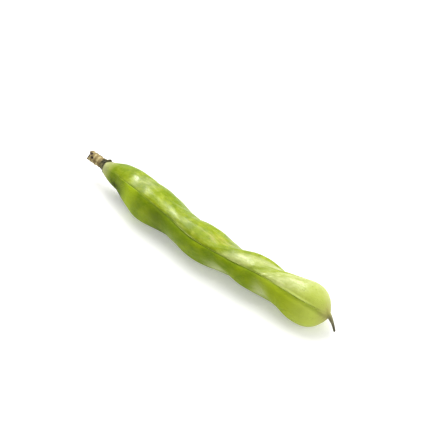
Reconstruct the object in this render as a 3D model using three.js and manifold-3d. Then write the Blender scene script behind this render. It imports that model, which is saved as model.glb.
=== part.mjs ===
// A fava bean pod as picked, lying on its side: the closed pod, the dry calyx round its neck,
// the stub of its stalk and the withered style at its tip.
// Millimetres, +Z up, the pod's length along X, its stalk at -X and its tip at +X.
import * as THREE from "three";
import { mergeVertices } from "three/addons/utils/BufferGeometryUtils.js";
import Module from "manifold-3d";

const wasm = await Module();
wasm.setup();

// ---- Driving dimensions ----
const POD_LENGTH = 160; // along the pod's own line, from the calyx to the style
const VALVE_REACH = 11.6; // from that line to the outside of a valve, where nothing pinches it
const SUTURE_REACH = 11.5; // from that line to either suture
const NECK_RADIUS = 2.3; // where the pod leaves the calyx
const NECK_LENGTH = 46; // the stretch over which the neck swells to full size
const DOME_LENGTH = 16; // the blunt end
const STYLE_ROOT_RADIUS = 0.9;
const RIDGE = 1.22; // 1 makes an oval section, more draws it out at the sutures
const GAP = 0.3; // between neighbouring pieces
const FLAT = 0.3; // how deep a bean is pressed flat where it rests on the table

// The pod narrows between its five beans: where, by what share of its reach on the upper and
// the lower valve, and over what length. A share below 0 is a swelling.
const PINCHES = [
  { at: 36, upper: 0.07, lower: -0.04, length: 8.5 },
  { at: 63, upper: 0.34, lower: 0.2, length: 15 },
  { at: 99, upper: 0.37, lower: 0.38, length: 12.5 },
  { at: 127.5, upper: 0.36, lower: 0.25, length: 12 },
  { at: 144, upper: -0.08, lower: 0, length: 10 },
];
const PINCH_SLANT = 9; // how far a pinch leans along the pod from its middle to a suture

// The pod's own line: distance along X, sideways bow and height above the table.
const LINE = [
  [0, -0.1, 12.3],
  [6, -0.8, 12.2],
  [18, -0.2, 11.9],
  [40, -2.3, 11.1],
  [60, -2.9, 10.75],
  [80, -4.7, 10.5],
  [100, -3.9, 10.2],
  [120, -1.1, 10.1],
  [140, -0.5, 10.4],
  [POD_LENGTH, 1.0, 10.1],
];

// How high the front suture faces above the horizontal, in degrees, along the pod.
const SUTURE_TURN = [
  [0, 52],
  [18, 44],
  [38, 52],
  [74, 41],
  [100, 46],
  [130, 48],
  [POD_LENGTH, 48],
];

// The stalk's line runs back from the neck, starting inside the calyx.
const STALK_LENGTH = 11.8;
const CALYX_LENGTH = 4.4;
const CALYX_LAP = 1.4; // how far its rim laps the neck
const CALYX_RADIUS = 3.1;
const CALYX_WALL = 0.5;
const CALYX_TEETH = 5;
const CALYX_TOOTH = 1.5;
const STALK_RADIUS = 3.0;
const STALK_TILT = new THREE.Vector3(-1, 0, 0);

// The style leaves the tip, turns down towards the table and ends in a point.
const STYLE_LINE = [
  [0, 0, 0],
  [1.5, -0.3, -0.8],
  [3.1, -0.9, -2.5],
  [4.7, -1.6, -4.6],
];
const STYLE_TIP_RADIUS = 0.5;

// ---- Curves ----

// Value at x of the smooth curve through rows of [x, value], flat past both ends.
function through(rows, x, column = 1) {
  const last = rows.length - 1;
  if (x <= rows[0][0]) return rows[0][column];
  if (x >= rows[last][0]) return rows[last][column];
  const i = rows.findIndex((row) => row[0] > x) - 1;
  const slope = (j) => {
    const a = rows[Math.max(j - 1, 0)];
    const b = rows[Math.min(j + 1, last)];
    return (b[column] - a[column]) / (b[0] - a[0]);
  };
  const [from, to] = [rows[i], rows[i + 1]];
  const span = to[0] - from[0];
  const t = (x - from[0]) / span;
  const rise = to[column] - from[column];
  const enter = slope(i) * span - rise;
  const leave = -slope(i + 1) * span + rise;
  return from[column] + rise * t + t * (1 - t) * (enter * (1 - t) + leave * t);
}

const bell = (x, middle, width) => Math.exp(-(((x - middle) / width) ** 2));

// The pod's line at distance s, with the direction it runs in.
function podLine(s) {
  const at = (x) => new THREE.Vector3(x, through(LINE, x, 1), through(LINE, x, 2));
  const step = 0.5;
  const ahead = at(Math.min(s + step, POD_LENGTH));
  const behind = at(Math.max(s - step, 0));
  return { point: at(s), along: ahead.sub(behind).normalize() };
}

// The pod swells from its neck to its full reach.
function neckRadius(s, reach = SUTURE_REACH) {
  const swell = Math.sin((Math.PI / 2) * Math.min(s / NECK_LENGTH, 1)) ** 0.8;
  return NECK_RADIUS + (reach - NECK_RADIUS) * swell;
}

// How far the pod reaches at distance s, from its rounded start to the dome that runs out into the style.
function podReach(s, reach) {
  const left = POD_LENGTH - s;
  const body = neckRadius(s, reach) * Math.sqrt(Math.min(s / 1.2, 1));
  const dome = body * (1 - Math.max(1 - left / DOME_LENGTH, 0) ** 3);
  if (left > 4) return dome;
  const root = (STYLE_ROOT_RADIUS + 0.35 * left) * Math.sqrt(Math.min(left / STYLE_ROOT_RADIUS, 1));
  return Math.max(dome, root);
}

// What a valve keeps of its reach where the pinches draw it in.
function unpinched(s, lean, valve) {
  const x = s + PINCH_SLANT * lean;
  return PINCHES.reduce((kept, pinch) => kept - pinch[valve] * bell(x, pinch.at, pinch.length), 1);
}

// ---- Solids ----

// A closed skin from pole to pole: place(v, u) gives the point a share v along and u around it.
function closedSkin(along, around, place) {
  const geometry = new THREE.SphereGeometry(1, around, along);
  const { position, uv } = geometry.attributes;
  for (let i = 0; i < position.count; i++) {
    const row = Math.floor(i / (around + 1));
    const point = place(row / along, (i % (around + 1)) % around / around);
    position.setXYZ(i, point.x, point.y, point.z);
  }
  geometry.deleteAttribute("normal");
  geometry.deleteAttribute("uv");
  return mergeVertices(geometry, 1e-4);
}

function toSolid(geometry) {
  return new wasm.Manifold(
    new wasm.Mesh({
      numProp: 3,
      vertProperties: geometry.attributes.position.array,
      triVerts: new Uint32Array(geometry.index.array),
    }),
  );
}

function toGeometry(solid) {
  const mesh = solid.getMesh();
  return new THREE.BufferGeometry()
    .setAttribute("position", new THREE.BufferAttribute(mesh.vertProperties, 3))
    .setIndex(new THREE.BufferAttribute(mesh.triVerts, 1));
}

// Two directions square to a line, the first as near straight up as it can be.
function frameAcross(along) {
  const side = new THREE.Vector3(0, 0, 1).cross(along).normalize();
  return { up: along.clone().cross(side), side };
}

// Spacing that is closer at the two ends than in the middle.
const eased = (v) => 0.5 * v + 0.25 * (1 - Math.cos(Math.PI * v));

function podPoint(s, angle) {
  const { point, along } = podLine(s);
  const { up, side } = frameAcross(along);
  const turn = THREE.MathUtils.degToRad(through(SUTURE_TURN, s));
  const toSuture = up.clone().multiplyScalar(Math.sin(turn)).addScaledVector(side, -Math.cos(turn));
  const toValve = up.clone().multiplyScalar(Math.cos(turn)).addScaledVector(side, Math.sin(turn));
  const c = Math.cos(angle);
  const d = Math.sin(angle);
  const lens = Math.sign(d) * Math.abs(d) ** RIDGE;
  const sutures = podReach(s, SUTURE_REACH);
  const valves = podReach(s, VALVE_REACH) * unpinched(s, c, d > 0 ? "upper" : "lower");
  return point.addScaledVector(toSuture, sutures * c).addScaledVector(toValve, valves * lens);
}

// The pod is one closed solid, pressed flat where its beans rest on the table.
function podGeometry() {
  const skin = closedSkin(76, 28, (v, u) => podPoint(POD_LENGTH * eased(v), 2 * Math.PI * u));
  const table = new THREE.BoxGeometry(2 * POD_LENGTH, 100, 20).translate(POD_LENGTH / 2, 0, FLAT - 10);
  table.deleteAttribute("normal");
  table.deleteAttribute("uv");
  return toGeometry(toSolid(skin).subtract(toSolid(mergeVertices(table, 1e-4))));
}

// A cup of dry sepals with ragged teeth that lie along the neck. Each row of the skin is a ring:
// across the base, up the outside, over the teeth, down the inside and across the cup's floor.
function calyxGeometry() {
  const { point } = podLine(0);
  const { up, side } = frameAcross(STALK_TILT.clone().negate());
  const start = CALYX_LENGTH - CALYX_LAP;
  const inside = (run) => neckRadius(Math.max(run - start, 0)) + 2 * GAP;
  const floor = start - GAP;
  return closedSkin(10, 25, (v, u) => {
    const angle = 2 * Math.PI * u;
    const rise = 0.5 + 0.5 * Math.cos(CALYX_TEETH * angle + 0.6);
    const rim = CALYX_LENGTH + CALYX_TOOTH * rise ** 2 * (1 + 0.5 * Math.sin(angle + 0.5));
    const rings = [
      [0, 0],
      [0.7 * CALYX_RADIUS, 0],
      [0.94 * CALYX_RADIUS, 0.4],
      [0.88 * CALYX_RADIUS, 0.4 * start],
      [CALYX_RADIUS, 0.8 * start],
      [inside(start) + CALYX_WALL, start],
      [inside(rim) + CALYX_WALL, rim],
      [inside(rim), rim],
      [inside(start), start],
      [0.8 * NECK_RADIUS, floor],
      [0, floor],
    ];
    const [radius, run] = rings[Math.round(v * 10)];
    return point
      .clone()
      .addScaledVector(STALK_TILT, start - run)
      .addScaledVector(up, radius * Math.cos(angle))
      .addScaledVector(side, radius * Math.sin(angle));
  });
}

// A short thick stub, torn off at its far end.
function stalkGeometry() {
  const { point } = podLine(0);
  const { up, side } = frameAcross(STALK_TILT.clone().negate());
  const nearEnd = CALYX_LENGTH - CALYX_LAP + GAP;
  return closedSkin(15, 14, (v, u) => {
    const angle = -2 * Math.PI * u;
    const torn = 0.5 * Math.cos(angle + 0.7) + 0.35 * Math.cos(3 * angle);
    const middle = THREE.MathUtils.clamp((v - 0.2) / 0.6, 0, 1);
    const rim = Math.min(v / 0.2, (1 - v) / 0.2, 1);
    const radius = STALK_RADIUS * rim * (1 + 0.08 * Math.sin(5 * middle));
    const run = nearEnd + (STALK_LENGTH - nearEnd) * middle + torn * rim * middle ** 2;
    return point
      .clone()
      .addScaledVector(STALK_TILT, run)
      .addScaledVector(up, radius * Math.cos(angle))
      .addScaledVector(side, radius * Math.sin(angle));
  });
}

// A dry thread that thins to its end.
function styleGeometry() {
  const { point } = podLine(POD_LENGTH);
  const root = point.add(new THREE.Vector3(GAP, 0, 0));
  const curve = new THREE.CatmullRomCurve3(
    STYLE_LINE.map((offset) => new THREE.Vector3(...offset).add(root)),
  );
  return closedSkin(18, 8, (v, u) => {
    const angle = 2 * Math.PI * u;
    const along = curve.getTangentAt(v);
    const { up, side } = frameAcross(along);
    const ends = Math.sqrt(Math.min(v / 0.06, (1 - v) / 0.08, 1));
    const radius = ends * THREE.MathUtils.lerp(STYLE_ROOT_RADIUS, STYLE_TIP_RADIUS, v ** 0.6);
    return curve
      .getPointAt(v)
      .addScaledVector(up, radius * Math.cos(angle))
      .addScaledVector(side, radius * Math.sin(angle));
  });
}

// ---- Finishes ----
const finishes = {
  pod: new THREE.MeshStandardMaterial({ color: 0x9fb93a, roughness: 0.42, metalness: 0 }),
  calyx: new THREE.MeshStandardMaterial({ color: 0x5f5a2c, roughness: 0.85, metalness: 0 }),
  stalk: new THREE.MeshStandardMaterial({ color: 0x9a8650, roughness: 0.85, metalness: 0 }),
  style: new THREE.MeshStandardMaterial({ color: 0x4f4a38, roughness: 0.7, metalness: 0 }),
};

// ---- Assembly ----
const pod = new THREE.Group();
const pieces = {
  pod: podGeometry(),
  calyx: calyxGeometry(),
  stalk: stalkGeometry(),
  style: styleGeometry(),
};
for (const [name, geometry] of Object.entries(pieces)) {
  const mesh = new THREE.Mesh(geometry, finishes[name]);
  mesh.name = name;
  pod.add(mesh);
}

// The origin is under the middle of the pod, on the table.
const bounds = new THREE.Box3().setFromObject(pod);
const middle = bounds.getCenter(new THREE.Vector3());
for (const mesh of pod.children) mesh.position.set(-middle.x, -middle.y, -bounds.min.z);

export default pod;
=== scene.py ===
"""A fava bean pod as picked, lying on a pale surface: the pod, its dry calyx, the stub of its stalk
and the withered style at its tip. Metres in the scene, millimetres in the shapes' own formulas."""
import math

import bpy
import numpy as np
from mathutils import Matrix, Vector


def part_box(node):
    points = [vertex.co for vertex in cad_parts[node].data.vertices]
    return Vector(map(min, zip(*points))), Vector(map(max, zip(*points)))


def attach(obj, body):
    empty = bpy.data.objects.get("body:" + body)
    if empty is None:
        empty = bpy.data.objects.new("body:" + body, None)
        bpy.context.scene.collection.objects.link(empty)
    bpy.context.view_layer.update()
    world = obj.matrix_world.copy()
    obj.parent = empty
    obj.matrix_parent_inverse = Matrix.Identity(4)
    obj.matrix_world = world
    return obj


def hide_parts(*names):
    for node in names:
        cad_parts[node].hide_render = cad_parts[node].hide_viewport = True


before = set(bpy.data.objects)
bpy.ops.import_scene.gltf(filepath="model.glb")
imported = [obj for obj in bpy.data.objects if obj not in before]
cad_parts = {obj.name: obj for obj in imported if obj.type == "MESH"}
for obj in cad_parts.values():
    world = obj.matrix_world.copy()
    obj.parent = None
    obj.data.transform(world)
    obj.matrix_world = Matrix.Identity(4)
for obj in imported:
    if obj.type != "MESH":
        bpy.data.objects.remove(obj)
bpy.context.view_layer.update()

# ---- The pod ----
# One closed fruit of two green valves, grown together along a seam at the front and one at the
# back. Its skin is thick, satin and slightly waxy, and swells over five beans inside. It lies on
# its side with the front seam turned up, and the beans press it flat where it rests.

MM = 0.001
POD_LENGTH = 160
VALVE_REACH = 11.6
SUTURE_REACH = 11.5
NECK_RADIUS = 2.3
NECK_LENGTH = 46
DOME_LENGTH = 16
STYLE_ROOT_RADIUS = 0.9
RIDGE = 1.22
PINCH_SLANT = 9
PINCHES = (  # where, share on the upper valve, share on the lower, length; below 0 it swells
    (36, 0.07, -0.04, 8.5),
    (63, 0.34, 0.2, 15),
    (99, 0.37, 0.38, 12.5),
    (127.5, 0.36, 0.25, 12),
    (144, -0.08, 0, 10),
)
POD_LINE = (  # distance along the pod, sideways bow, height
    (0, -0.1, 12.3),
    (6, -0.8, 12.2),
    (18, -0.2, 11.9),
    (40, -2.3, 11.1),
    (60, -2.9, 10.75),
    (80, -4.7, 10.5),
    (100, -3.9, 10.2),
    (120, -1.1, 10.1),
    (140, -0.5, 10.4),
    (160, 1.0, 10.1),
)
SUTURE_TURN = ((0, 52), (18, 44), (38, 52), (74, 41), (100, 46), (130, 48), (160, 48))


def through(rows, x, column=1):
    """Smooth curve through rows of (x, values): each stretch is a cubic whose slope at a row is
    that of the chord between the row's two neighbours, and it is flat past both ends."""
    rows = np.array(rows, float)
    knots, values = rows[:, 0], rows[:, column]
    before = np.maximum(np.arange(len(rows)) - 1, 0)
    after = np.minimum(np.arange(len(rows)) + 1, len(rows) - 1)
    slopes = (values[after] - values[before]) / (knots[after] - knots[before])
    x = np.clip(x, knots[0], knots[-1])
    i = np.clip(np.searchsorted(knots, x, side="right") - 1, 0, len(rows) - 2)
    span = knots[i + 1] - knots[i]
    rise = values[i + 1] - values[i]
    t = (x - knots[i]) / span
    enter = slopes[i] * span - rise
    leave = rise - slopes[i + 1] * span
    return values[i] + rise * t + t * (1 - t) * (enter * (1 - t) + leave * t)


def bell(x, middle, width):
    """1 at the middle, falling to 1/e at one width to either side."""
    return np.exp(-(((x - middle) / width) ** 2))


def step(low, high, x):
    """0 below low, 1 above high, and a smooth S between them."""
    t = np.clip((x - low) / (high - low), 0, 1)
    return t * t * (3 - 2 * t)


def unit(v):
    """The same directions, each one long."""
    return v / np.linalg.norm(v, axis=-1, keepdims=True)


def frame_across(along):
    """For each direction, the two square to it: the nearest to straight up, and the one beside it."""
    side = unit(np.cross((0.0, 0.0, 1.0), along))
    return np.cross(along, side), side


def pod_reach(s, reach):
    """A quarter sine swells the neck to its full reach, a cube law closes the dome, and the last
    4 mm never get thinner than a short cone that becomes the style."""
    swell = np.sin(np.pi / 2 * np.minimum(s / NECK_LENGTH, 1)) ** 0.8
    body = (NECK_RADIUS + (reach - NECK_RADIUS) * swell) * np.sqrt(np.minimum(s / 1.2, 1))
    left = POD_LENGTH - s
    dome = body * (1 - np.clip(1 - left / DOME_LENGTH, 0, 1) ** 3)
    cone = (STYLE_ROOT_RADIUS + 0.35 * left) * np.sqrt(np.clip(left / STYLE_ROOT_RADIUS, 0, 1))
    return np.where(left > 4, dome, np.maximum(dome, cone))


def pod_form(s, angle):
    """The plain form: round the pod's line, a lens whose long axis runs from suture to suture,
    drawn in between the beans. s runs down the rows, angle across them, 0 at the front seam."""
    line = np.stack([s, through(POD_LINE, s, 1), through(POD_LINE, s, 2)], -1)
    along = unit(np.gradient(line, axis=0))
    up, side = frame_across(along)
    turn = np.radians(through(SUTURE_TURN, s))[..., None]
    to_suture = up * np.sin(turn) - side * np.cos(turn)
    to_valve = up * np.cos(turn) + side * np.sin(turn)
    c, d = np.cos(angle), np.sin(angle)
    kept = 1 - sum(
        np.where(d > 0, upper, lower) * bell(s + PINCH_SLANT * c, at, length)
        for at, upper, lower, length in PINCHES
    )
    lens = np.sign(d) * np.abs(d) ** RIDGE
    sutures = (pod_reach(s, SUTURE_REACH) * c)[..., None]
    valves = (pod_reach(s, VALVE_REACH) * kept * lens)[..., None]
    return line + sutures * to_suture + valves * to_valve


def waves(place, count, size, seed):
    """Smooth lumps of about the given size: a sum of plane waves in random directions, -1 to 1."""
    rng = np.random.default_rng(seed)
    total = 0
    for _ in range(count):
        direction = unit(rng.normal(size=3)) * rng.uniform(0.6, 1.5) * 2 * np.pi / size
        total = total + np.sin(place @ direction + rng.uniform(0, 2 * np.pi))
    return total / math.sqrt(count * 2)


FRONT_TENT_HEIGHT = 1.9
FRONT_TENT_WIDTH = 3.4
BEAD_HEIGHT = 0.2
BACK_TENT_HEIGHT = 0.8
BACK_TENT_WIDTH = 3.2
GROOVE_DEPTH = 0.14
BEANS = (23, 49, 77, 109, 142)
BEAN_RISE = 0.4
BEAN_HALF_LENGTH = 13
BEAN_LEAN = 12
CREASE_LEAN = 25
CREASES = ((118, 0.55), (138.5, 0.75))  # where the last two beans shoulder up, and how far
RIPPLES = (147, 151)  # where two faint ripples follow the last shoulder
KNOBS = ((32, 8, 0.66, 0.4, 0.8), (66, 10, 0.8, 0.3, 0.45))  # along, its width, across, its width, height
LOWER_LEAN = 14
LOWER_SWELLS = ((100, 0.4), (126, 0.4))  # where the lower valve swells again, and how far


def pod_relief(s, angle, straight):
    """What stands out of the plain form, in millimetres: a tent along each seam, beaded at the
    front and grooved at the back; a soft oval on each bean; shoulders that rise fast and fade
    slowly, leaning across the last two beans above and over two more below; two knobs on the
    upper valve; and slow lumps and fine lengthwise folds. Everything fades at both ends."""
    c, d = np.cos(angle), np.sin(angle)
    half = pod_reach(s, SUTURE_REACH)
    round_front = (angle + np.pi) % (2 * np.pi) - np.pi
    front = round_front * half + 0.2 * np.sin(s / 5.3) + 0.12 * np.sin(s / 2.1 + 1)
    back = (np.pi - np.abs(round_front)) * half
    ends = step(1, 20, s) * step(0, 12, POD_LENGTH - s)
    strength = 0.1 + 0.9 * step(36, 66, s)
    seams = FRONT_TENT_HEIGHT * strength * np.exp(-np.sqrt(front**2 + 0.09) / FRONT_TENT_WIDTH)
    seams += BEAD_HEIGHT * bell(front, 0.3, 0.6)
    seams += BACK_TENT_HEIGHT * np.exp(-back / BACK_TENT_WIDTH) - GROOVE_DEPTH * bell(back, 0, 0.35)
    shoulders = 0
    for at in BEANS:
        lean = s + BEAN_LEAN * c - at - 3
        oval = np.sqrt((lean / BEAN_HALF_LENGTH) ** 2 + (np.abs(c) / 0.78) ** 2)
        shoulders = shoulders + BEAN_RISE * (1 - step(0.66, 1.08, oval))
    dunes = 0
    for at, rise in CREASES:
        past = s + CREASE_LEAN * c - at
        dunes = dunes + rise * step(-1, 4.5, past) * np.exp(-np.maximum(past - 4.5, 0) / 15)
        dunes = dunes - 0.25 * rise * bell(past, -1.5, 2.2)
    for at in RIPPLES:
        dunes = dunes + 0.09 * bell(s + CREASE_LEAN * c, at, 0.8)
    knobs = 0
    for at, length, across, width, rise in KNOBS:
        knobs = knobs + rise * bell(s, at, length) * bell(c, across, width) * (d > 0)
    lumps = knobs + 0.24 * waves(straight, 9, 26, 3) + 0.13 * waves(straight, 9, 9, 4)
    folds = 0.06 * waves(straight * (0.12, 1, 1), 8, 4.2, 5)
    beneath = 0
    for at, rise in LOWER_SWELLS:
        past = s + LOWER_LEAN * c - at
        beneath = beneath + rise * step(-1, 4, past) * np.exp(-np.maximum(past - 4, 0) / 12)
        beneath = beneath - rise * bell(past, -4, 4)
    swelling = shoulders * np.abs(d) ** 0.5 + dunes * step(0.1, 0.5, d) + beneath * step(0.1, 0.6, -d)
    return step(1, 20, s) * step(0, 5, POD_LENGTH - s) * seams + ends * (swelling + lumps + folds)


def grid_faces(rows, columns):
    """Quads between neighbouring rows of a grid whose last column meets its first, and a fan of
    triangles onto a single point at either end, all facing outwards."""
    i, j = np.meshgrid(np.arange(rows - 1), np.arange(columns), indexing="ij")
    k = (j + 1) % columns
    quads = np.stack([i * columns + j, i * columns + k, (i + 1) * columns + k, (i + 1) * columns + j], -1)
    first, last = rows * columns, rows * columns + 1
    j = np.arange(columns)
    k = (j + 1) % columns
    start = np.stack([np.full(columns, first), k, j], -1)
    end = np.stack([np.full(columns, last), (rows - 1) * columns + j, (rows - 1) * columns + k], -1)
    return quads.reshape(-1, 4).tolist() + start.tolist() + end.tolist()


def skin(name, points, first, last, attributes=None):
    """A closed smooth skin through a grid of points (rows, columns, xyz) in metres, with a pole at
    each end. Attributes are grids too: their pole values are the means of the end rows."""
    rows, columns = points.shape[:2]
    places = np.concatenate([points.reshape(-1, 3), [first], [last]])
    mesh = bpy.data.meshes.new(name)
    mesh.from_pydata(places.tolist(), [], grid_faces(rows, columns))
    mesh.shade_smooth()
    for key, grid in (attributes or {}).items():
        grid = np.broadcast_to(grid, (rows, columns) + np.shape(grid)[2:])
        flat = grid.reshape(rows * columns, -1)
        ends = np.stack([grid[0].reshape(columns, -1).mean(0), grid[-1].reshape(columns, -1).mean(0)])
        flat = np.concatenate([flat, ends])
        kind, field = ("FLOAT", "value") if flat.shape[1] == 1 else ("FLOAT_VECTOR", "vector")
        layer = mesh.attributes.new(key, kind, "POINT")
        layer.data.foreach_set(field, flat.ravel().astype(np.float32))
    piece = bpy.data.objects.new(name, mesh)
    bpy.context.scene.collection.objects.link(piece)
    return piece


def grid_normals(points):
    """Outward normals of a grid of points: the cross product of the steps across and along it."""
    along = np.gradient(points, axis=0)
    across = np.roll(points, -1, 1) - np.roll(points, 1, 1)
    return unit(np.cross(across, along))


# The rows of the grid are closer together at both ends, and its columns at both seams.
ALONG = 540
AROUND = 168
share = np.linspace(0, 1, ALONG + 1)[1:-1]
pod_s = POD_LENGTH * (0.6 * share + 0.2 * (1 - np.cos(np.pi * share)))[:, None]
turn_share = np.arange(AROUND) / AROUND
pod_angle = (2 * np.pi * turn_share - 0.32 * np.sin(4 * np.pi * turn_share))[None, :]
pod_s, pod_angle = np.broadcast_arrays(pod_s, pod_angle)

form = pod_form(pod_s, pod_angle)
radius = pod_reach(pod_s, SUTURE_REACH)
straight = np.stack([pod_s, radius * np.cos(pod_angle), radius * np.sin(pod_angle)], -1)
node_low, node_high = (np.array(corner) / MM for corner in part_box("pod"))
pod_shift = np.array([
    node_low[0],
    (node_low[1] + node_high[1] - form[..., 1].min() - form[..., 1].max()) / 2,
    node_high[2] - form[..., 2].max(),
])
relief = pod_relief(pod_s, pod_angle, straight)
surface = form + grid_normals(form) * relief[..., None] + pod_shift

# Its own weight flattens the skin where it rests: no height falls below the floor.
surface[..., 2] = (surface[..., 2] + np.sqrt(surface[..., 2] ** 2 + 0.2)) / 2 - 0.02
pod = skin(
    "pod_skin",
    surface * MM,
    (surface[0].mean(0) - (0.1, 0, 0)) * MM,
    (surface[-1].mean(0) + (0.1, 0, 0)) * MM,
    {
        "straight": straight,
        "upper": np.sin(pod_angle),
        "front": np.cos(pod_angle),
        "seam": ((pod_angle + np.pi) % (2 * np.pi) - np.pi) * radius,
    },
)
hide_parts("pod")
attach(pod, "root")


class Wire:
    """One output of a shader node. Arithmetic on wires and numbers adds Math nodes."""

    def __init__(self, tree, socket=None):
        self.tree = tree
        self.socket = socket

    def node(self, kind, settings=None, inputs=None, output=0):
        """Add a shader node: its settings first, then a value or a wire for each input."""
        node = self.tree.nodes.new("ShaderNode" + kind)
        for name, value in (settings or {}).items():
            if name == "stops":
                ramp = node.color_ramp
                while len(ramp.elements) < len(value):
                    ramp.elements.new(1)
                for element, (position, colour) in zip(ramp.elements, value):
                    element.position = position
                    element.color = (*colour, 1) if len(colour) == 3 else colour
            else:
                setattr(node, name, value)
        for key, value in (inputs or {}).items():
            if isinstance(value, Wire):
                self.tree.links.new(value.socket, node.inputs[key])
            else:
                node.inputs[key].default_value = value
        return Wire(self.tree, node.outputs[output])

    def math(self, operation, *values):
        """One Math node on wires or numbers."""
        return self.node("Math", {"operation": operation}, dict(enumerate(values)))

    def __add__(self, other):
        return self.math("ADD", self, other)

    __radd__ = __add__

    def __sub__(self, other):
        return self.math("SUBTRACT", self, other)

    def __rsub__(self, other):
        return self.math("SUBTRACT", other, self)

    def __mul__(self, other):
        return self.math("MULTIPLY", self, other)

    __rmul__ = __mul__

    def within(self, low, high):
        """0 where the value is below low, 1 above high, smooth between."""
        settings = {"interpolation_type": "SMOOTHSTEP"}
        return self.node("MapRange", settings, {"Value": self, "From Min": low, "From Max": high})

    def near(self, middle, width):
        """1 where the value is at the middle, falling to 0 at one width to either side."""
        return 1 - self.math("ABSOLUTE", self - middle).within(0, width)

    def noise(self, scale, detail=3.0, roughness=0.55):
        """Noise at this place, about 0.3 to 0.7."""
        inputs = {"Vector": self, "Scale": scale, "Detail": detail, "Roughness": roughness}
        return self.node("TexNoise", None, inputs)

    def stretched(self, *scale):
        """This place with its three axes scaled."""
        return self.node("VectorMath", {"operation": "MULTIPLY"}, {0: self, 1: scale})

    def swatch(self, *display):
        """A colour given as on a display, 0 to 255 a channel, in the linear values of a shader."""
        shares = np.array(display) / 255
        linear = np.where(shares <= 0.04045, shares / 12.92, ((shares + 0.055) / 1.055) ** 2.4)
        wire = self.node("RGB")
        wire.socket.default_value = (*linear, 1)
        return wire

    def over(self, under, mask):
        """This colour laid over another where the mask says."""
        settings = {"data_type": "RGBA", "clamp_factor": True}
        return self.node("Mix", settings, {0: mask, 6: under, 7: self}, 2)


def material(name):
    """A new material, and a wire to start its nodes from."""
    made = bpy.data.materials.new(name)
    made.use_nodes = True
    return made, Wire(made.node_tree)


def dress(made, sockets):
    """Set the sockets of a material's own shader, or link wires to them."""
    shader = made.node_tree.nodes["Principled BSDF"]
    for key, value in sockets.items():
        if isinstance(value, Wire):
            made.node_tree.links.new(value.socket, shader.inputs[key])
        else:
            shader.inputs[key].default_value = value


# The colours of the skin, and of the light and shade painted on it, as a display shows them, 0 to 255 a
# channel.
GRASS_GREEN = (98, 124, 0)
YOUNG_GREEN = (130, 150, 0)
UPPER_LIT_GREEN = (122, 140, 0)
MOTTLE_LIME = (154, 168, 24)
STREAK_LIME = (196, 208, 90)
VEIN_LIME = (180, 194, 60)
SEAM_LINE_SHADE_GREEN = (74, 98, 0)
RIPE_LIME = (176, 190, 36)
BEAN_CREAM_AND_HIGHLIGHT = (194, 200, 132)
STRIPE_CREAM = (222, 230, 150)
VALLEY_TAN = (206, 184, 104)
HAZE_HIGHLIGHT_CREAM = (196, 204, 150)
SHADED_DEEP_GREEN = (106, 132, 0)
SHADE_GREEN = (78, 98, 0)
PAINTED_LIGHT_LIME = (164, 186, 24)
LIP_HIGHLIGHT_LIME = (214, 226, 112)
HIGHLIGHT_CREAM = (214, 222, 150)
NECK_CREAM = (192, 190, 142)
BRUISE_BLACK = (34, 42, 8)
BRUISE_SPECK = (40, 44, 12)
SPECK_OLIVE = (92, 96, 20)
TIP_LIME = (178, 188, 98)
TIP_SEAM_SHADE_OLIVE = (100, 116, 6)
TIP_LIP_HIGHLIGHT_LIME = (222, 238, 124)
TIP_BROWN = (150, 140, 92)

# The marks on the skin are placed by four measures: along is millimetres from the neck, front runs
# from 1 on the front seam to -1 on the back one, upper from 1 on the upper valve to -1 on the
# lower, and seam is millimetres from the front seam, more than 0 on the upper valve.
pod_material, wire = material("pod_skin")
place = wire.node("Attribute", {"attribute_name": "straight"}, output="Vector")
upper = wire.node("Attribute", {"attribute_name": "upper"}, output="Fac")
front = wire.node("Attribute", {"attribute_name": "front"}, output="Fac")
seam = wire.node("Attribute", {"attribute_name": "seam"}, output="Fac")
along = wire.node("SeparateXYZ", None, {0: place}, 0)
above = seam.within(-0.6, 0.8) * upper.within(-0.5, 0.05)

# The skin is patched in two greens and mottled and streaked with lime, under a fine net of veins. The
# upper valve is painted lighter and more lime than the lower, as light from above makes it look.
streaky = place.stretched(0.2, 1, 1)
patches = place.noise(0.09, 3).within(0.36, 0.62)
mottle = place.noise(0.26, 3, 0.55).within(0.38, 0.64)
streaks = streaky.noise(0.6, 4).within(0.42, 0.72)
fine = place.noise(2.2, 4, 0.65)
net = wire.node(
    "TexVoronoi",
    {"feature": "DISTANCE_TO_EDGE"},
    {"Vector": place.stretched(0.4, 1, 1), "Scale": 0.8},
)
veins = 1 - net.within(0.0, 0.14)
tone = wire.swatch(*GRASS_GREEN).over(wire.swatch(*YOUNG_GREEN), 0.8 * patches)
# Painted light: a yellower tint on the upper valve, as if lit from above.
tone = wire.swatch(*UPPER_LIT_GREEN).over(tone, 0.6 * above * (1 - 0.5 * patches))
tone = wire.swatch(*MOTTLE_LIME).over(tone, 0.5 * mottle * (0.15 + 0.85 * above))
tone = wire.swatch(*STREAK_LIME).over(tone, 0.3 * streaks * mottle * (0.3 + 0.7 * above))
tone = wire.swatch(*VEIN_LIME).over(tone, 0.08 * veins)

# The seam has a pale lip, a painted highlight on its bead, which comes on further down, and a dark line
# just below it, partly the seam's own line and partly painted shade. The skin is riper towards the tip:
# the last two beans are creamy above, partly paler skin and partly painted highlight, with two stripes,
# one valley is tan, and the lower valve has a hazy painted highlight in four places.
lean = along + CREASE_LEAN * front
at_front = front.within(0.2, 0.6)
# The lip is a painted highlight along the seam's bead.
lip_highlight = seam.near(0.8, 1.1) * at_front * along.within(30, 75) * (1 - 0.8 * along.within(149, 157))
# The line is the seam's dark line, widened by painted shade below the bead.
line = seam.near(-1.0, 1.1) * at_front * (0.4 + 0.6 * along.within(20, 60))
tone = wire.swatch(*SEAM_LINE_SHADE_GREEN).over(tone, 0.55 * line)
tone = wire.swatch(*RIPE_LIME).over(tone, 0.7 * along.within(104, 158))
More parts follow.
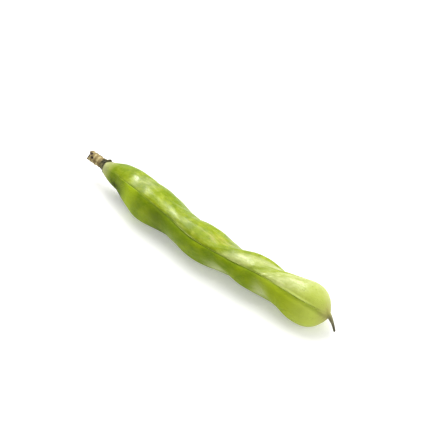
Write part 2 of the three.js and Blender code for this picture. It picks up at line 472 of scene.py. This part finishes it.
# The cream over the last two beans is partly their paler skin and partly a painted highlight.
bean_pallor_and_highlight = lean.near(130, 13) + lean.near(158, 22)
tone = wire.swatch(*BEAN_CREAM_AND_HIGHLIGHT).over(tone, 0.85 * above * bean_pallor_and_highlight * (0.6 + 0.4 * mottle))
stripes = lean.near(RIPPLES[0], 1.3) + lean.near(RIPPLES[1], 1.1)
tone = wire.swatch(*STRIPE_CREAM).over(tone, 0.5 * above * stripes * streaks.within(0.0, 0.4))
tan_valley = above * (along + 20 * front).near(101, 10) * front.near(0.55, 0.5)
tone = wire.swatch(*VALLEY_TAN).over(tone, 0.6 * tan_valley * streaks)
# The hazy patches on the lower valve are a painted highlight, light reflected up from the floor.
hazy_highlight = 1.2 * along.near(97, 12) * front.near(0.3, 0.5)
hazy_highlight += 0.6 * along.near(149, 12) * front.near(-0.1, 0.5)
hazy_highlight += along.near(124, 9) * front.near(0.45, 0.6) + 0.35 * along.near(66, 8) * front.near(0.5, 0.4)
tone = wire.swatch(*HAZE_HIGHLIGHT_CREAM).over(tone, 0.85 * (1 - above) * hazy_highlight * (0.6 + 0.4 * streaks))

# Both valves are painted darker beside the neck and about the second bean, painted shade above and
# painted shadow below; the lower one has painted light between them, and the upper one a painted
# highlight on its two knobs, where its coat gleams.
# Painted shade on the upper valve, painted shadow on the lower.
painted_shade_upper = along.near(14, 12) * front.near(0.3, 0.9) + along.near(58, 24) * front.near(0, 0.7)
shade = 0.9 * along.near(16, 9) + 1.3 * along.near(53, 11)
tone = wire.swatch(*SHADED_DEEP_GREEN).over(tone, 0.7 * above * painted_shade_upper)
tone = wire.swatch(*SHADE_GREEN).over(tone, 0.5 * (1 - above) * shade)
# Painted light on the lower valve over the first bean.
tone = wire.swatch(*PAINTED_LIGHT_LIME).over(tone, 0.8 * (1 - above) * along.near(31, 9))
# The lip's painted highlight.
tone = wire.swatch(*LIP_HIGHLIGHT_LIME).over(tone, 0.85 * lip_highlight * streaky.noise(0.9, 3).within(0.3, 0.5))
# A painted highlight where the coat gleams on the two knobs; the same mask thickens the coat.
gloss_and_highlight = along.near(33, 12) * front.near(0.72, 0.5) + 0.3 * along.near(66, 15) * front.near(0.9, 0.4)
tone = wire.swatch(*HIGHLIGHT_CREAM).over(tone, 0.5 * above * gloss_and_highlight * (0.3 + 0.7 * streaks))

# The neck is pale beside the calyx and bruised underneath, dark specks are sown over the skin, and the
# tip turns dull and brown, with a wider lip, a painted highlight, and a wider line, partly painted shade,
# on its seam.
neck = 1 - along.within(0, 12)
tone = wire.swatch(*NECK_CREAM).over(tone, 0.9 * neck)
speckle = wire.node("TexVoronoi", None, {"Vector": place, "Scale": 0.55})
speckle = 1 - speckle.within(0.1, 0.24)
sown = place.noise(0.16, 2).within(0.5, 0.62)
bruise = along.near(17, 11) * (1 - upper.within(-0.8, -0.35))
tone = wire.swatch(*BRUISE_BLACK).over(tone, bruise * place.noise(0.5, 4, 0.6).within(0.43, 0.53))
tone = wire.swatch(*BRUISE_SPECK).over(tone, bruise * speckle)
tone = wire.swatch(*SPECK_OLIVE).over(tone, 0.6 * sown * speckle)
tone = wire.swatch(*TIP_LIME).over(tone, 0.55 * along.within(138, 156))
# The tip's seam: a wider dark line, partly painted shade, under a painted highlight on its lip.
at_last = at_front * along.within(130, 142)
last_line_and_shade = seam.near(-1.3, 2.0) * at_last
tone = wire.swatch(*TIP_SEAM_SHADE_OLIVE).over(tone, 0.55 * last_line_and_shade)
last_lip_highlight = seam.near(1.2, 1.5) * at_last * (1 - along.within(148, 156))
tone = wire.swatch(*TIP_LIP_HIGHLIGHT_LIME).over(tone, 0.75 * last_lip_highlight)
tip = along.within(153, 160)
tone = wire.swatch(*TIP_BROWN).over(tone, 0.7 * tip * tip)
dimples = place.stretched(0.7, 1, 1).noise(0.9, 2)
height = 0.4 * fine + 0.9 * dimples + 0.2 * veins - 0.3 * speckle * sown
bump = wire.node("Bump", None, {"Strength": 0.5, "Distance": 0.0005, "Height": height}, "Normal")
wax = above * (0.02 + 0.06 * streaks + 0.95 * gloss_and_highlight + 0.15 * bean_pallor_and_highlight)
dress(pod_material, {
    "Base Color": tone,
    "Roughness": 0.22 + 0.3 * fine + 0.22 * (1 - above) + 0.3 * bruise,
    "Normal": bump,
    "Specular IOR Level": 0.16,
    "Specular Tint": (0.86, 1.0, 0.5, 1),
    "Subsurface Weight": 0.1,
    "Subsurface Radius": (0.6, 1.0, 0.2),
    "Subsurface Scale": 0.0015,
    "Coat Weight": wax * (1 - along.within(144, 152)),
    "Coat Roughness": 0.18,
    "Coat IOR": 1.9,
})
pod.data.materials.append(pod_material)

# ---- The stalk ----
# The thick stub of the flower's stalk: a tan barrel, ringed with scars, that tore off the plant
# and left a dark ragged end with pits in it.

NECK_POINT = POD_LINE[0][1:]
STALK_START = 1.0
STALK_LENGTH = 11.8
STALK_RADIUS = 3.0
STALK_TILT = np.array([-1.0, 0.0, 0.0])
RING_HEIGHT = 0.1
WALL_SHARE = 0.8
PITS = (  # along, round, size
    (11.4, -1.05, 1.3),
    (10.2, -0.2, 1.1),
    (8.3, -0.95, 1.0),
    (9.2, 1.6, 0.7),
    (7.4, 2.9, 0.6),
)


def stalk_frame():
    """The two directions square to the stalk, and the point on the neck where it starts."""
    up, side = frame_across(-STALK_TILT)
    return up, side, np.array([0, *NECK_POINT]) + pod_shift


def stalk_skin(share, angle):
    """A barrel along the stalk: run goes from inside the calyx to the ragged torn end, while share
    covers the wall, and then back in to a shallow hollow. The radius bulges in the middle, is
    ringed by scars and rough all over, and each pit is a round bell sunk in it."""
    up, side, root = stalk_frame()
    wall = np.minimum(share / WALL_SHARE, 1)
    run = STALK_START + (STALK_LENGTH - STALK_START) * wall
    inwards = np.clip((share - WALL_SHARE) / (1 - WALL_SHARE), 0, 1)
    ragged = 0.35 * np.sin(3 * angle + 0.6) + 0.25 * np.sin(7 * angle + 2) + 0.15 * np.sin(13 * angle)
    run = run + (ragged - 0.3) * wall**6 * (1 - inwards) - 1.1 * np.sin(np.pi / 2 * inwards)
    barrel = 0.84 + 0.12 * np.sin(np.pi * np.clip((run - 1) / 11, 0, 1)) + 0.08 * step(9, 12, run)
    rings = RING_HEIGHT * np.cos(run * 2.1 + 0.8 + 0.5 * np.sin(angle)) * step(1, 3, run)
    rough = 0.07 * np.sin(5 * angle + 2 * run) + 0.05 * np.sin(11 * angle - 3 * run)
    depth = 0
    for at, turn, size in PITS:
        aside = ((angle - turn + np.pi) % (2 * np.pi) - np.pi) * STALK_RADIUS
        depth = depth + np.exp(-((run - at) ** 2 + aside**2) / size**2)
    radius = (STALK_RADIUS * barrel + rings + rough - 0.75 * depth) * np.cos(np.pi / 2 * inwards)
    around = np.cos(angle)[..., None] * up + np.sin(angle)[..., None] * side
    points = root + run[..., None] * STALK_TILT + radius[..., None] * around
    # The dark mark follows the depth of the pits and the hollow of the torn end, painting shade there,
    # and browns the last of the stalk.
    dark = np.clip(0.9 * depth + 0.9 * inwards + 0.25 * step(10.5, 12.4, run), 0, 1)
    return points, {"dark": dark, "ring": rings / RING_HEIGHT}


rows, columns = np.linspace(0, 1, 121)[:-1, None], -2 * np.pi * np.arange(120)[None] / 120
stalk_points, stalk_marks = stalk_skin(*np.broadcast_arrays(rows, columns))
stalk = skin(
    "stalk_stub",
    stalk_points * MM,
    stalk_points[0].mean(0) * MM,
    stalk_points[-1].mean(0) * MM,
    stalk_marks,
)
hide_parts("stalk")
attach(stalk, "root")

BARK_TAN = (184, 168, 116)
BARK_BROWN = (136, 118, 72)
BLOTCH_BROWN = (104, 84, 40)
TORN_BROWN = (70, 48, 34)
PIT_SHADE_BLACK = (34, 22, 14)

stalk_material, wire = material("stalk_bark")
place = wire.node("TexCoord", output="Object")
dark = wire.node("Attribute", {"attribute_name": "dark"}, output="Fac")
ring = wire.node("Attribute", {"attribute_name": "ring"}, output="Fac")
grain = place.noise(900, 4, 0.65)
blotches = place.noise(350, 3)
bark = wire.swatch(*BARK_BROWN).over(wire.swatch(*BARK_TAN), ring.within(-0.9, 0.4))
bark = wire.swatch(*BLOTCH_BROWN).over(bark, 0.7 * blotches.within(0.48, 0.62))
# Brown torn tissue, and painted shade in the pits and the hollow, darkest where they are deepest.
bark = wire.swatch(*TORN_BROWN).over(bark, dark.within(0.15, 0.6) * 0.85)
bark = wire.swatch(*PIT_SHADE_BLACK).over(bark, dark.within(0.45, 0.85))
rough = wire.node("Bump", None, {"Strength": 0.7, "Distance": 0.0003, "Height": grain}, "Normal")
dress(stalk_material, {"Base Color": bark, "Roughness": 0.7 + 0.2 * grain, "Normal": rough})
stalk.data.materials.append(stalk_material)

# ---- The calyx ----
# The cup of sepals that held the flower, dried to a dark, brittle, ragged collar. It hugs the
# neck, and its torn teeth stand out, the longest above and below.

CALYX_START = 2.6
CALYX_DEPTH = 4.6
CALYX_ROOT_RADIUS = 2.2
CALYX_OUTSIDE = 0.55
TEETH = (  # round, length, width
    (0.35, 1.9, 0.22),
    (1.5, 0.7, 0.3),
    (2.7, 1.7, 0.26),
    (3.9, 1.0, 0.3),
    (5.2, 0.8, 0.3),
)


def calyx_skin(share, angle):
    """A cup turned round the stalk: its outside runs from a narrow base towards the neck, out over
    torn teeth, each a narrow bell round the rim, and its inside comes back against the neck.
    Lengthwise wrinkles, the sum of a coarse wave and a fine one round it, fade inside."""
    up, side, root = stalk_frame()
    teeth = 0
    for turn, length, width in TEETH:
        aside = (angle - turn + np.pi) % (2 * np.pi) - np.pi
        teeth = teeth + length * bell(aside, 0, width)
    frayed = teeth + 0.22 * np.sin(9 * angle + 1) + 0.14 * np.sin(17 * angle)
    outside = np.minimum(share / CALYX_OUTSIDE, 1)
    back = np.clip((share - CALYX_OUTSIDE) / (1 - CALYX_OUTSIDE), 0, 1)
    edge = step(0.55, 1, outside) * (1 - step(0, 0.6, back))
    run = CALYX_START - CALYX_DEPTH * outside + 1.4 * back - 0.6 * frayed * edge
    radius = CALYX_ROOT_RADIUS + 0.6 * step(0, 0.25, outside) + 0.95 * step(0.35, 1, outside)
    radius = radius + 0.6 * frayed * edge
    radius = radius * (1 - back) + back * 2.6 - 0.3 * np.sin(np.pi * back)
    wrinkles = 0.15 * np.sin(11 * angle + 0.5 * run + np.sin(3 * angle))
    wrinkles = wrinkles + 0.07 * np.sin(29 * angle + 1.2 * np.sin(run))
    radius = radius + wrinkles * (1 - back)
    around = np.cos(angle)[..., None] * up + np.sin(angle)[..., None] * side
    return root + run[..., None] * STALK_TILT + radius[..., None] * around


rows, columns = np.linspace(0, 1, 100)[:, None], 2 * np.pi * np.arange(200)[None] / 200
calyx_points = calyx_skin(*np.broadcast_arrays(rows, columns))[::-1]
calyx = skin(
    "calyx_collar",
    calyx_points * MM,
    calyx_points[0].mean(0) * MM,
    calyx_points[-1].mean(0) * MM,
)
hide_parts("calyx")
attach(calyx, "root")

HUSK_DARK = (48, 45, 12)
HUSK_OLIVE = (104, 98, 52)
FIBRE_STRAW = (140, 132, 84)

calyx_material, wire = material("dry_calyx")
place = wire.node("TexCoord", output="Object")
fibres = place.noise(1400, 4, 0.6)
blotches = place.noise(420, 3)
husk = wire.swatch(*HUSK_OLIVE).over(wire.swatch(*HUSK_DARK), blotches.within(0.42, 0.64))
husk = wire.swatch(*FIBRE_STRAW).over(husk, 0.5 * fibres.within(0.55, 0.7))
crisp = wire.node("Bump", None, {"Strength": 0.8, "Distance": 0.0003, "Height": fibres}, "Normal")
dress(calyx_material, {"Base Color": husk, "Roughness": 0.65 + 0.25 * fibres, "Normal": crisp})
calyx.data.materials.append(calyx_material)

# ---- The style ----
# The withered thread of the flower's pistil. It grows out of the pod's tip, where it is widest,
# bends down and dries to a hard dark point.

STYLE_LINE = (  # from the pod's tip: along the pod, sideways, up
    (-3.6, 0.4, 1.6),
    (-2.0, 0.2, 1.0),
    (-0.3, 0.0, 0.1),
    (1.5, -0.4, -1.3),
    (3.1, -0.9, -2.9),
    (5.0, -1.8, -5.4),
)
STYLE_END_RADIUS = 0.55
STYLE_ROOT_SWELL = 2.0


def style_skin(share, angle):
    """A flattened tube along a smooth curve: its width falls by a power law from a swollen root
    and rounds off at the very end, and it twists a quarter turn, with shallow furrows along it."""
    knots = np.linspace(0, 1, len(STYLE_LINE))
    table = np.column_stack([knots, STYLE_LINE])
    root = np.array([POD_LENGTH, *POD_LINE[-1][1:]]) + pod_shift
    line = root + np.stack([through(table, share, k) for k in (1, 2, 3)], -1)
    up, side = frame_across(unit(np.gradient(line, axis=0)))
    width = STYLE_END_RADIUS + STYLE_ROOT_SWELL * (1 - share) ** 1.6
    width = width * np.sqrt(np.clip((1 - share) / 0.04, 0, 1))
    width = width * (1 + 0.06 * np.sin(5 * angle + 6 * share))
    twist = angle + 1.5 * share
    reach = width * (0.78 + 0.22 * np.abs(np.cos(twist)))
    around = np.cos(angle)[..., None] * up + np.sin(angle)[..., None] * side
    return line + reach[..., None] * around


rows, columns = np.linspace(0, 1, 122)[1:-1, None], 2 * np.pi * np.arange(40)[None] / 40
rows, columns = np.broadcast_arrays(rows, columns)
style_points = style_skin(rows, columns)
style = skin(
    "style_thread",
    style_points * MM,
    style_points[0].mean(0) * MM,
    style_points[-1].mean(0) * MM,
    {"share": rows},
)
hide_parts("style")
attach(style, "root")

ROOT_OLIVE = (158, 158, 74)
THREAD_OLIVE = (104, 100, 66)
THREAD_DARK = (58, 54, 38)
THREAD_STRAW = (140, 128, 98)

style_material, wire = material("dry_style")
place = wire.node("TexCoord", output="Object")
share = wire.node("Attribute", {"attribute_name": "share"}, output="Fac")
fibres = place.noise(1500, 4, 0.6)
thread = wire.swatch(*THREAD_OLIVE).over(wire.swatch(*ROOT_OLIVE), share.within(0.25, 0.55))
thread = wire.swatch(*THREAD_DARK).over(thread, share.within(0.6, 0.95))
thread = wire.swatch(*THREAD_STRAW).over(thread, 0.4 * fibres.within(0.5, 0.7))
crisp = wire.node("Bump", None, {"Strength": 0.6, "Distance": 0.0002, "Height": fibres}, "Normal")
dress(style_material, {"Base Color": thread, "Roughness": 0.55 + 0.25 * fibres, "Normal": crisp})
style.data.materials.append(style_material)

# ---- The room ----
# A pale surface to lie on, and soft light all round. The key and the smaller window light come
# from the stalk's side, the fill from the tip's side, and the widest light hangs overhead.

FLOOR_REACH = 6
floor_mesh = bpy.data.meshes.new("floor")
corners = ((-1, -1, 0), (1, -1, 0), (1, 1, 0), (-1, 1, 0))
floor_mesh.from_pydata([Vector(corner) * FLOOR_REACH for corner in corners], [], [(0, 1, 2, 3)])
floor = bpy.data.objects.new("floor", floor_mesh)
bpy.context.scene.collection.objects.link(floor)
floor_material, wire = material("pale_floor")
dress(floor_material, {
    "Base Color": (0.8, 0.8, 0.79, 1),
    "Roughness": 0.8,
    "Emission Color": (1, 1, 1, 1),
    "Emission Strength": 0.3,
})
floor_mesh.materials.append(floor_material)

world = bpy.data.worlds.new("soft_room")
world.use_nodes = True
world.node_tree.nodes["Background"].inputs["Color"].default_value = (1.0, 1.0, 1.0, 1)
world.node_tree.nodes["Background"].inputs["Strength"].default_value = 0.42
bpy.context.scene.world = world
bpy.context.scene.view_settings.view_transform = "Standard"


def soft_light(name, towards, distance, size, power):
    """A square light that faces the pod's middle from the given direction."""
    light = bpy.data.lights.new(name, "AREA")
    light.size = size
    light.energy = power
    lamp = bpy.data.objects.new(name, light)
    direction = Vector(towards).normalized()
    lamp.location = direction * distance
    lamp.rotation_euler = direction.to_track_quat("Z", "Y").to_euler()
    bpy.context.scene.collection.objects.link(lamp)


soft_light("key", (-0.45, 0.15, 0.88), distance=0.9, size=0.6, power=4.4)
soft_light("fill", (0.9, 0.2, 0.45), distance=0.9, size=0.9, power=5.0)
soft_light("window", (-0.45, 0.42, 0.77), distance=0.9, size=0.34, power=3.0)
soft_light("overhead", (-0.1, 0.45, 0.9), distance=1.2, size=1.1, power=6.2)

AZIMUTH = math.radians(45.7)
ELEVATION = math.radians(40)
DISTANCE = 0.75
VIEW_WIDTH = 0.2235  # what the view takes in from side to side, at the pod
FILM_WIDTH = 36
POD_MIDDLE = Vector((0.0, 0.0, 0.0105))
VIEW_SHIFT = Vector((0.0105, 0.0062, 0))  # to the right and up in the view
towards_camera = Vector((
    math.sin(AZIMUTH) * math.cos(ELEVATION),
    -math.cos(AZIMUTH) * math.cos(ELEVATION),
    math.sin(ELEVATION),
))
camera_data = bpy.data.cameras.new("camera")
camera_data.sensor_width = FILM_WIDTH
camera_data.lens = FILM_WIDTH * DISTANCE / VIEW_WIDTH
camera = bpy.data.objects.new("camera", camera_data)
camera.rotation_euler = towards_camera.to_track_quat("Z", "Y").to_euler()
aim = POD_MIDDLE + camera.rotation_euler.to_matrix() @ VIEW_SHIFT
camera.location = aim + towards_camera * DISTANCE
bpy.context.scene.collection.objects.link(camera)
bpy.context.scene.camera = camera
